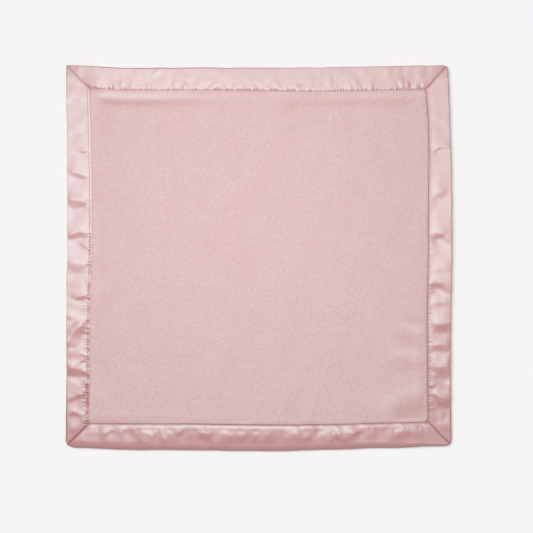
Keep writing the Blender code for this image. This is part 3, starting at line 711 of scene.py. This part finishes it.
def brushed_fleece(colours):
    """Brushed polyester fleece: short fibres raised from a knit, so it looks matt and soft, with a faint grain where
    it parts; its colour also carries painted light where the pile slopes towards the light and painted shade where
    it leans away, in its creases and by the binding."""
    material, tree, shader = new_material("brushed_polyester_fleece")
    place = add_node(tree, "TexCoord").outputs["Object"]
    # Fibre tips are 0.02 mm across, too fine to show; they are drawn as clumps of 1 to 2 mm.
    clump = add_node(tree, "TexNoise", {"Vector": place, "Scale": 1 / (1.5 * MM), "Detail": 2, "Roughness": 0.5})
    wale_place = add_node(tree, "Mapping", {"Vector": place, "Scale": (1, 0.4, 1)})
    wale = add_node(
        tree, "TexNoise", {"Vector": wale_place.outputs["Vector"], "Scale": 1 / (1.6 * MM), "Detail": 2}
    )
    grain = add_node(
        tree, "Mix", {"Factor": 0.2, "A": clump.outputs["Fac"], "B": wale.outputs["Fac"]}, data_type="FLOAT"
    )
    parting = add_node(
        tree,
        "MapRange",
        {"Value": grain.outputs["Result"], "From Min": 0.3, "From Max": 0.7, "To Min": 0, "To Max": 1},
    )
    cloud = add_node(tree, "TexNoise", {"Vector": place, "Scale": 1 / (22 * MM), "Detail": 2})
    tone = add_node(
        tree,
        "Mix",
        {"Factor": 0.2, "A": parting.outputs["Result"], "B": cloud.outputs["Fac"]},
        data_type="FLOAT",
    )
    colour = add_node(
        tree,
        "Mix",
        {"Factor": tone.outputs["Result"], "A": (*colours.fleece_shade, 1), "B": (*colours.fleece, 1)},
        data_type="RGBA",
    )
    # Painted light and shade: the pile's colour is made paler where it slopes towards the light and deeper where it
    # leans away, in its creases and by the binding.
    painted_lightness = add_node(tree, "Attribute", attribute_name="painted_shading").outputs["Fac"]
    depth = add_node(tree, "Math", {0: 1, 1: painted_lightness}, operation="SUBTRACT")
    painted_shade_colour = add_node(tree, "Gamma", {"Color": colour.outputs["Result"], "Gamma": depth.outputs[0]})
    tree.links.new(painted_shade_colour.outputs["Color"], shader.inputs["Base Color"])
    fuzz = add_node(tree, "Bump", {"Height": grain.outputs["Result"], "Strength": 0.5, "Distance": 1 * MM})
    tree.links.new(fuzz.outputs["Normal"], shader.inputs["Normal"])
    shader.inputs["Roughness"].default_value = 0.95
    shader.inputs["Specular IOR Level"].default_value = 0.2
    shader.inputs["Sheen Weight"].default_value = 0.25
    shader.inputs["Sheen Roughness"].default_value = 0.6
    return material


def woven_satin(colours):
    """Woven polyester satin: long floats of smooth yarn along the strip, so it looks silky, with a broad pale
    glint where a fold faces the light and a deeper pink where it turns away."""
    material, tree, shader = new_material("woven_polyester_satin")
    place = add_node(tree, "UVMap", uv_map="UVMap").outputs["UV"]
    # Yarns lie 0.1 mm apart, too fine to show; they are drawn as streaks 0.8 mm wide and 9 mm long.
    stretched = add_node(tree, "Mapping", {"Vector": place, "Scale": (1 / (9 * MM), 1 / (0.8 * MM), 1)})
    floats = add_node(tree, "TexNoise", {"Vector": stretched.outputs["Vector"], "Scale": 1, "Detail": 2})
    colour = add_node(
        tree,
        "Mix",
        {"Factor": floats.outputs["Fac"], "A": (*colours.satin_shade, 1), "B": (*colours.satin, 1)},
        data_type="RGBA",
    )
    tree.links.new(colour.outputs["Result"], shader.inputs["Base Color"])
    gloss = add_node(
        tree, "MapRange", {"Value": floats.outputs["Fac"], "To Min": 0.47, "To Max": 0.53}
    )
    tree.links.new(gloss.outputs["Result"], shader.inputs["Roughness"])
    weave = add_node(tree, "Bump", {"Height": floats.outputs["Fac"], "Strength": 0.12, "Distance": 0.2 * MM})
    tree.links.new(weave.outputs["Normal"], shader.inputs["Normal"])
    shader.inputs["IOR"].default_value = 1.89
    shader.inputs["Specular IOR Level"].default_value = 1.0
    shader.inputs["Specular Tint"].default_value = (0.66, 1, 1, 1)
    return material


def spun_thread(colours):
    """Spun polyester sewing thread: two plies twisted together, so it looks slightly ribbed and soft."""
    material, tree, shader = new_material("spun_polyester_thread")
    place = add_node(tree, "TexCoord").outputs["Object"]
    # The twist repeats every 0.5 mm.
    twist = add_node(tree, "TexNoise", {"Vector": place, "Scale": 1 / (0.5 * MM), "Detail": 2})
    darker = tuple(0.8 * value for value in colours.thread)
    colour = add_node(
        tree,
        "Mix",
        {"Factor": twist.outputs["Fac"], "A": (*darker, 1), "B": (*colours.thread, 1)},
        data_type="RGBA",
    )
    tree.links.new(colour.outputs["Result"], shader.inputs["Base Color"])
    plies = add_node(tree, "Bump", {"Height": twist.outputs["Fac"], "Strength": 0.4, "Distance": 0.1 * MM})
    tree.links.new(plies.outputs["Normal"], shader.inputs["Normal"])
    shader.inputs["Roughness"].default_value = 0.55
    shader.inputs["Sheen Weight"].default_value = 0.2
    return material


def matt_floor(colours):
    """A matt painted sweep: plain and pale, so it only holds the blanket's shadow."""
    material, tree, shader = new_material("matt_painted_floor")
    shader.inputs["Base Color"].default_value = (*colours.floor, 1)
    shader.inputs["Roughness"].default_value = 1
    shader.inputs["Specular IOR Level"].default_value = 0
    return material


def fleece_lines():
    """Depths of the plush panel's grid lines from its cut edge to its middle: close by the binding, wide between."""
    lines = [FLEECE_EDGE_INSET, 0.0045, 0.008, 0.0118, HEM_START - 4 * GAP, HEM_START - GAP, 0.017, 0.019]
    lines += [STITCH_DEPTH, 0.0206, BINDING_WIDTH - 0.0006, BINDING_WIDTH - 0.0001]
    lines += list(np.arange(BINDING_WIDTH + 0.0003, BINDING_WIDTH + 0.0085, 0.0004))
    step = 0.0005
    while lines[-1] < HALF_SIDE - 0.0012:
        step = min(step * 1.16, 0.0022)
        lines.append(lines[-1] + step)
    return lines[:-1]


def pile_folds(x, y):
    """The shares of their height that the pile's folds have at points."""
    total = np.zeros(x.shape)
    for from_x, from_y, to_x, to_y, height, first, last in PILE_FOLD_SHARES:
        ends = (from_x * BLANKET_SIDE, from_y * BLANKET_SIDE, to_x * BLANKET_SIDE, to_y * BLANKET_SIDE)
        total += height * fold(x, y, (*ends, first, last), FOLD_HALF_WIDTH, end=PILE_FOLD_END)
    return total


def fleece_painted_shading(sizes, x, y):
    """The painted light and shade in the pile's colour: painted light where its slope lies open to the top left and
    painted shade where it leans away, painted light on its ridges and painted shade in its creases, and painted
    shade in the crevice against the binding."""
    step = 0.3 * MM
    slope_x = (fleece_swell(sizes, x + step, y)[0] - fleece_swell(sizes, x - step, y)[0]) / (2 * step)
    slope_y = (fleece_swell(sizes, x, y + step)[0] - fleece_swell(sizes, x, y - step)[0]) / (2 * step)
    facing_painted_light = np.clip(-slope_x * PAINTED_LIGHT_WAY[0] - slope_y * PAINTED_LIGHT_WAY[1], -0.2, 0.2)
    _, inner, _, edge_painted_shade = fleece_swell(sizes, x, y)
    painted_edge_mask = np.clip(1 - inner / (0.4 * MM), 0, 1)
    return (PAINTED_SLOPE_LIGHT * facing_painted_light + PAINTED_FOLD_SHADE * pile_folds(x, y)) * (1 - painted_edge_mask) + edge_painted_shade * painted_edge_mask


def fleece_swell(sizes, x, y):
    """How the pile's front swells and waves, how far in from the binding it lies, how far it falls there, and how
    much painted shade its colour gets there."""
    straight = HALF_SIDE - BINDING_WIDTH - INNER_CORNER_RADIUS
    off_x = np.abs(x) - straight
    off_y = np.abs(y) - straight
    outside = np.hypot(np.maximum(off_x, 0), np.maximum(off_y, 0)) + np.minimum(np.maximum(off_x, off_y), 0)
    inner = INNER_CORNER_RADIUS - outside
    field = HALF_SIDE - BINDING_WIDTH
    nearness = [np.exp(-(field - reach) / 0.003) for reach in (y, x, -y, -x)]
    total = sum(nearness)
    drop = sum(share * near for share, near in zip(SHOULDER_SHARES, nearness)) / total
    alongs = (x, -y, -x, y)
    swells = [smooth_through(PILE_ROLL_SHARES[side], a / BLANKET_SIDE + 0.5) for side, a in zip(SIDES, alongs)]
    swell = sum(share * near for share, near in zip(swells, nearness)) / total
    edge_painted_shade = sum(share * near for share, near in zip(EDGE_PAINTED_SHADE_SHARES, nearness)) / total
    shoulder = drop * SHOULDER_DROP * np.exp(-np.maximum(inner, 0) / SHOULDER_REACH)
    roll = swell * sizes.pile_roll * bell(inner - ROLL_DISTANCE, ROLL_SPREAD)
    long_waves = waves(7, x, 0.4 * y, 0.06, 0.016, 60)
    short_waves = waves(8, x, y, 0.012, 0.005, 40)
    edge = np.clip(inner / 0.004, 0, 1)
    soft = sizes.pile_waves * (long_waves * 0.9 + short_waves * 0.15) * edge
    return roll + soft + sizes.pile_folds * pile_folds(x, y) * edge, inner, shoulder, edge_painted_shade


def fleece_surface(sizes, x, y):
    """The height of the pile on the front, in the field."""
    swell, _, fall, _ = fleece_swell(sizes, x, y)
    return FLEECE_HEIGHT + swell - fall


def make_fleece_shape(sizes):
    """The plush panel: a slab whose edge is pressed thin under the binding and whose pile swells beside it."""
    lines = fleece_lines()
    even = [line - HALF_SIDE for line in lines]
    even += [0] + [-line for line in reversed(even)]
    last = len(even) - 1
    shape = bmesh.new()
    # a layer for the painted light and shade of the pile's colour, held on its top points
    painted_shading_layer = shape.verts.layers.float.new("painted_shading")
    bmesh.ops.create_grid(shape, x_segments=last, y_segments=last, size=1)
    column = np.array([round((vert.co.x + 1) / 2 * last) for vert in shape.verts])
    row = np.array([round((vert.co.y + 1) / 2 * last) for vert in shape.verts])
    raised = bmesh.ops.extrude_face_region(shape, geom=shape.faces[:])
    tops = {(vert.co.x, vert.co.y): vert for vert in raised["geom"] if isinstance(vert, bmesh.types.BMVert)}
    bottoms = shape.verts[: len(column)]
    tops = [tops[vert.co.x, vert.co.y] for vert in bottoms]
    places = np.array(even)
    x = places[column]
    y = places[row]
    depth = HALF_SIDE - np.maximum(np.abs(x), np.abs(y))
    field = fleece_surface(sizes, x, y)
    under_front, under_back = pressed_edge(sizes, depth)
    share = np.clip((depth - BINDING_WIDTH + 0.0006) / 0.0005, 0, 1)
    front = np.minimum(under_front + (field - under_front) * share, np.where(share < 1, field, 1))
    back = under_back * (1 - share)
    # painted light and shade for the pile's colour, from its slopes, its folds and the crevice by the binding
    painted_shading = fleece_painted_shading(sizes, x, y)
    laid_x, laid_y = lay(x, y)
    for index, (bottom, top) in enumerate(zip(bottoms, tops)):
        top[painted_shading_layer] = painted_shading[index]
        bottom.co = (laid_x[index], laid_y[index], back[index])
        top.co = (laid_x[index], laid_y[index], front[index])
    bmesh.ops.recalc_face_normals(shape, faces=shape.faces)
    return shape


def pressed_edge(sizes, depth):
    """Heights of the pile's front and back where the binding presses it, at depths in from the outer fold."""
    known = (FLEECE_EDGE_INSET, 0.0045, 0.0118, HEM_START - 4 * GAP, HEM_START - GAP, STITCH_DEPTH, BINDING_WIDTH)
    half = FLEECE_EDGE_THICKNESS / 2
    single = SATIN_THICKNESS + GAP + UNDER_SATIN_SLACK
    double = SATIN_THICKNESS + PLY_STEP + GAP + UNDER_SATIN_SLACK
    stitched = BINDING_HEIGHT - sizes.inner_drop - double
    full = BINDING_HEIGHT - single
    front = (FOLD_MIDDLE + half, 0.8 * full, full, full, full - PLY_STEP, stitched + 0.0004, stitched)
    turned_up = BACK_RISE + SATIN_THICKNESS + PLY_STEP + GAP
    back = (FOLD_MIDDLE - half, 0.0009, 0.0009, 0.0009, 0.0016, turned_up, turned_up)
    low = np.interp(depth, known, back)
    return np.maximum(np.interp(depth, known, front), low + GAP), low


def make_strip_shape(sizes, side):
    """One satin strip, still straight and unlaid: a sheet folded round the edge with both hems turned under,
    thickened inwards, its heights those of the places where it will lie once its ends are cut to the mitre."""
    steps = round(BLANKET_SIDE / SATIN_STEP)
    stations = np.linspace(-HALF_SIDE, HALF_SIDE, steps + 1)
    depths, heights = satin_rows(sizes, side, stations)
    rows = len(depths)
    middle = steps // 2
    run = np.hypot(np.diff(depths[:, middle]), np.diff(heights[:, middle]))
    across = np.concatenate(([0], np.cumsum(run)))
    shape = bmesh.new()
    run_layer = shape.verts.layers.float.new("across")
    bmesh.ops.create_grid(shape, x_segments=steps, y_segments=rows - 1, size=1)
    for vert in shape.verts:
        column = round((vert.co.x + 1) / 2 * steps)
        row = round((vert.co.y + 1) / 2 * (rows - 1))
        vert.co = (stations[column], HALF_SIDE - depths[row, column], heights[row, column])
        vert[run_layer] = across[row]
    shape.normal_update()
    crown = max(shape.faces, key=lambda face: face.calc_center_median().z)
    if crown.normal.z < 0:
        bmesh.ops.reverse_faces(shape, faces=shape.faces)
    bmesh.ops.solidify(shape, geom=shape.faces, thickness=SATIN_THICKNESS)
    return shape


def lay_strip(piece, side):
    """Cuts a strip's ends to the mitre and lays it on its side of the blanket, and maps its yarn directions."""
    mesh = piece.data
    count = len(mesh.vertices)
    places = np.empty(3 * count)
    mesh.vertices.foreach_get("co", places)
    places = places.reshape(count, 3)
    depth = HALF_SIDE - places[:, 1]
    along = mitred(places[:, 0], depth)
    across = np.empty(count)
    mesh.attributes["across"].data.foreach_get("value", across)
    loop_vertices = np.empty(len(mesh.loops), int)
    mesh.loops.foreach_get("vertex_index", loop_vertices)
    yarn_map = mesh.uv_layers.new(name="UVMap")
    yarn_map.data.foreach_set("uv", np.stack((along, across), 1)[loop_vertices].ravel())
    x, y = lay(*side_point(side, along, depth))
    mesh.vertices.foreach_set("co", np.stack((x, y, places[:, 2]), 1).ravel())
    mesh.attributes.remove(mesh.attributes["across"])
    mesh.update()


def thread_run(sizes, name, paths, material):
    """Short lengths of thread, one for each path of points, as one piece with rounded ends."""
    curve = bpy.data.curves.new(name, "CURVE")
    curve.dimensions = "3D"
    curve.bevel_depth = sizes.thread_diameter / 2
    curve.bevel_resolution = 1
    curve.use_fill_caps = True
    for path in paths:
        spline = curve.splines.new("POLY")
        spline.points.add(len(path) - 1)
        for knot, point in zip(spline.points, path):
            knot.co = (*point, 1)
        spline.points[0].radius = 0.6
        spline.points[-1].radius = 0.6
    guide = bpy.data.objects.new(name + "_guide", curve)
    mesh = bpy.data.meshes.new_from_object(guide)
    bpy.data.objects.remove(guide)
    mesh.name = name
    mesh.materials.clear()
    mesh.materials.append(material)
    mesh.shade_smooth()
    piece = bpy.data.objects.new(name, mesh)
    bpy.context.scene.collection.objects.link(piece)
    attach(piece, BODY)
    return piece


def stitch_paths(sizes, surface, way):
    """A path for each stitch of one thread of the topstitching, lying on a surface of the satin; way is 1 on the
    front and -1 on the back."""
    end = HALF_SIDE - STITCH_DEPTH - 0.0006
    count = int(end / sizes.stitch_pitch)
    radius = sizes.thread_diameter / 2
    shares = np.array((0.04, 0.14, 0.38, 0.62, 0.86, 0.96))
    dives = np.array((2.6, 0.5, -0.2, -0.2, 0.5, 2.6)) * radius
    paths = []
    for side in SIDES:
        for step in range(-count, count):
            along = (step + shares) * sizes.stitch_pitch
            depth = np.full(len(shares), STITCH_DEPTHS[side])
            x, y = lay(*side_point(side, along, depth))
            z = surface(sizes, side, along, depth) + way * (radius - dives)
            paths.append(list(zip(x, y, z)))
    return paths


def mitre_paths(sizes, side):
    """A path for each stitch of the seam that joins two strips at a mitre, inside the fold."""
    pitch = sizes.stitch_pitch
    paths = []
    below = SATIN_THICKNESS + GAP + sizes.thread_diameter
    depth = STITCH_DEPTH
    while depth - pitch > FOLD_MIDDLE:
        spread = depth - pitch * np.array((0.05, 0.3, 0.7, 0.95))
        along = HALF_SIDE - spread
        x, y = lay(*side_point(side, along, spread))
        hem = np.where(spread > HEM_START - GAP, PLY_STEP, 0)
        top = front_surface(sizes, side, along, spread) - below - hem
        paths.append(list(zip(x, y, top)))
        low = back_surface(sizes, side, along, spread) + below + hem
        paths.append(list(zip(x, y, low)))
        depth -= pitch
    return paths


def light_way(elevation, turn):
    """The way to a light at an elevation, turned from above the top side towards the left."""
    level = math.cos(elevation)
    return Vector((-math.sin(turn) * level, math.cos(turn) * level, math.sin(elevation)))


class BLANKET_OT_stage(bpy.types.Operator):
    """Makes the pale floor, the soft light and the camera straight above the blanket"""

    bl_idname = "blanket.stage"
    bl_label = "Stage"

    def execute(self, context):
        colours = context.scene.blanket_colours
        scene = context.scene
        scene.view_settings.view_transform = "Standard"
        shape = bmesh.new()
        bmesh.ops.create_grid(shape, x_segments=1, y_segments=1, size=FLOOR_SIDE / 2)
        bmesh.ops.translate(shape, verts=shape.verts, vec=(0, 0, -GAP))
        mesh = bpy.data.meshes.new("floor")
        shape.to_mesh(mesh)
        shape.free()
        mesh.materials.append(matt_floor(colours))
        floor = bpy.data.objects.new("floor", mesh)
        scene.collection.objects.link(floor)
        floor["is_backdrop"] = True

        way = light_way(KEY_ELEVATION, KEY_TURN)
        direct = (1 - FILL_SHARE) * math.pi / way.z
        window = bpy.data.lights.new("window", "AREA")
        window.shape = "RECTANGLE"
        window.size = KEY_WIDTH
        window.size_y = KEY_DEPTH
        window.energy = direct * math.pi * KEY_DISTANCE**2
        key = bpy.data.objects.new("window", window)
        key.location = way * KEY_DISTANCE
        key.rotation_euler = way.to_track_quat("Z", "Y").to_euler()
        key.visible_camera = False
        scene.collection.objects.link(key)
        floor_way = light_way(FLOOR_KEY_ELEVATION, FLOOR_KEY_TURN)
        even = bpy.data.lights.new("floor_light", "SUN")
        even.energy = (1 - FILL_SHARE) * math.pi / floor_way.z
        even.angle = FLOOR_KEY_SPREAD
        floor_light = bpy.data.objects.new("floor_light", even)
        floor_light.rotation_euler = floor_way.to_track_quat("Z", "Y").to_euler()
        scene.collection.objects.link(floor_light)
        # The floor is lit evenly, from the window's side, and the blanket by the window itself.
        floor_only = bpy.data.collections.new("lit_evenly")
        floor_only.objects.link(floor)
        floor_light.light_linking.receiver_collection = floor_only
        key.light_linking.receiver_collection = bpy.data.collections.new("lit_by_window")

        world = bpy.data.worlds.new("surround")
        scene.world = world
        world.use_nodes = True
        tree = world.node_tree
        tree.nodes.clear()
        path = add_node(tree, "LightPath")
        seen = add_node(
            tree,
            "Math",
            {0: path.outputs["Is Camera Ray"], 1: path.outputs["Is Glossy Ray"]},
            operation="MAXIMUM",
        )
        seen_or_through = add_node(
            tree,
            "Math",
            {0: seen.outputs[0], 1: path.outputs["Is Transmission Ray"]},
            operation="MAXIMUM",
        )
        fill = add_node(tree, "Background", {"Color": (1, 1, 1, 1), "Strength": FILL_SHARE})
        backdrop = add_node(tree, "Background", {"Color": (*colours.floor, 1), "Strength": 1})
        mixed = add_node(
            tree, "MixShader", {0: seen_or_through.outputs[0], 1: fill.outputs[0], 2: backdrop.outputs[0]}
        )
        add_node(tree, "OutputWorld", {"Surface": mixed.outputs[0]})

        lens = bpy.data.cameras.new("camera")
        lens.sensor_width = SENSOR_WIDTH
        lens.lens = SENSOR_WIDTH * (CAMERA_HEIGHT - BINDING_HEIGHT) / VIEW_WIDTH
        camera = bpy.data.objects.new("camera", lens)
        camera.location = (*CAMERA_PLACE, CAMERA_HEIGHT)
        scene.collection.objects.link(camera)
        scene.camera = camera
        return {"FINISHED"}


class BLANKET_OT_fleece_panel(bpy.types.Operator):
    """Makes the plush fleece panel, pressed thin under the binding"""

    bl_idname = "blanket.fleece_panel"
    bl_label = "Fleece Panel"

    def execute(self, context):
        sizes = context.scene.blanket_sizes
        material = brushed_fleece(context.scene.blanket_colours)
        panel = link_piece("plush_panel", make_fleece_shape(sizes), material)
        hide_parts("fleece_panel")
        return {"FINISHED"}


class BLANKET_OT_binding(bpy.types.Operator):
    """Makes the four satin strips, folded round the edge and mitred"""

    bl_idname = "blanket.binding"
    bl_label = "Satin Binding"

    def execute(self, context):
        sizes = context.scene.blanket_sizes
        material = woven_satin(context.scene.blanket_colours)
        for side in SIDES:
            strip = link_piece("satin_strip_" + side, make_strip_shape(sizes, side), material)
            lay_strip(strip, side)
            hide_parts("binding_" + side)
        return {"FINISHED"}


class BLANKET_OT_topstitching(bpy.types.Operator):
    """Makes the row of stitches along the binding's inner edge, front and back"""

    bl_idname = "blanket.topstitching"
    bl_label = "Topstitching"

    def execute(self, context):
        sizes = context.scene.blanket_sizes
        material = spun_thread(context.scene.blanket_colours)
        needle = thread_run(sizes, "needle_stitches", stitch_paths(sizes, front_surface, 1), material)
        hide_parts("topstitch_needle_thread")
        bobbin = thread_run(sizes, "bobbin_stitches", stitch_paths(sizes, back_surface, -1), material)
        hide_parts("topstitch_bobbin_thread")
        return {"FINISHED"}


class BLANKET_OT_mitre_seams(bpy.types.Operator):
    """Makes the stitches that join the strips at the four mitres, inside the fold"""

    bl_idname = "blanket.mitre_seams"
    bl_label = "Mitre Seams"

    def execute(self, context):
        sizes = context.scene.blanket_sizes
        material = spun_thread(context.scene.blanket_colours)
        for side, corner in zip(SIDES, CORNERS):
            seam = thread_run(sizes, "mitre_stitches_" + corner, mitre_paths(sizes, side), material)
            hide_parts("mitre_seam_" + corner)
        return {"FINISHED"}


class BLANKET_PT_panel(bpy.types.Panel):
    """Lists the blanket's pieces and settings"""

    bl_idname = "BLANKET_PT_panel"
    bl_label = "Comfort Blanket"
    bl_space_type = "VIEW_3D"
    bl_region_type = "UI"
    bl_category = "Comfort Blanket"

    def draw(self, context):
        for operator in OPERATORS:
            self.layout.operator(operator.bl_idname)
        for group in (context.scene.blanket_sizes, context.scene.blanket_colours):
            box = self.layout.box()
            for name in group.__annotations__:
                box.prop(group, name)


OPERATORS = (
    BLANKET_OT_stage,
    BLANKET_OT_fleece_panel,
    BLANKET_OT_binding,
    BLANKET_OT_topstitching,
    BLANKET_OT_mitre_seams,
)
CLASSES = (BlanketSizes, BlanketColours, *OPERATORS, BLANKET_PT_panel)


def register():
    for cls in CLASSES:
        bpy.utils.register_class(cls)
    bpy.types.Scene.blanket_sizes = PointerProperty(type=BlanketSizes)
    bpy.types.Scene.blanket_colours = PointerProperty(type=BlanketColours)


def unregister():
    del bpy.types.Scene.blanket_colours
    del bpy.types.Scene.blanket_sizes
    for cls in reversed(CLASSES):
        bpy.utils.unregister_class(cls)


def main():
    register()
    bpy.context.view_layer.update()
    bpy.ops.blanket.stage()
    bpy.ops.blanket.fleece_panel()
    bpy.ops.blanket.binding()
    bpy.ops.blanket.topstitching()
    bpy.ops.blanket.mitre_seams()
    lit = bpy.data.collections["lit_by_window"]
    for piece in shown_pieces():
        lit.objects.link(piece)


if __name__ == "__main__":
    main()
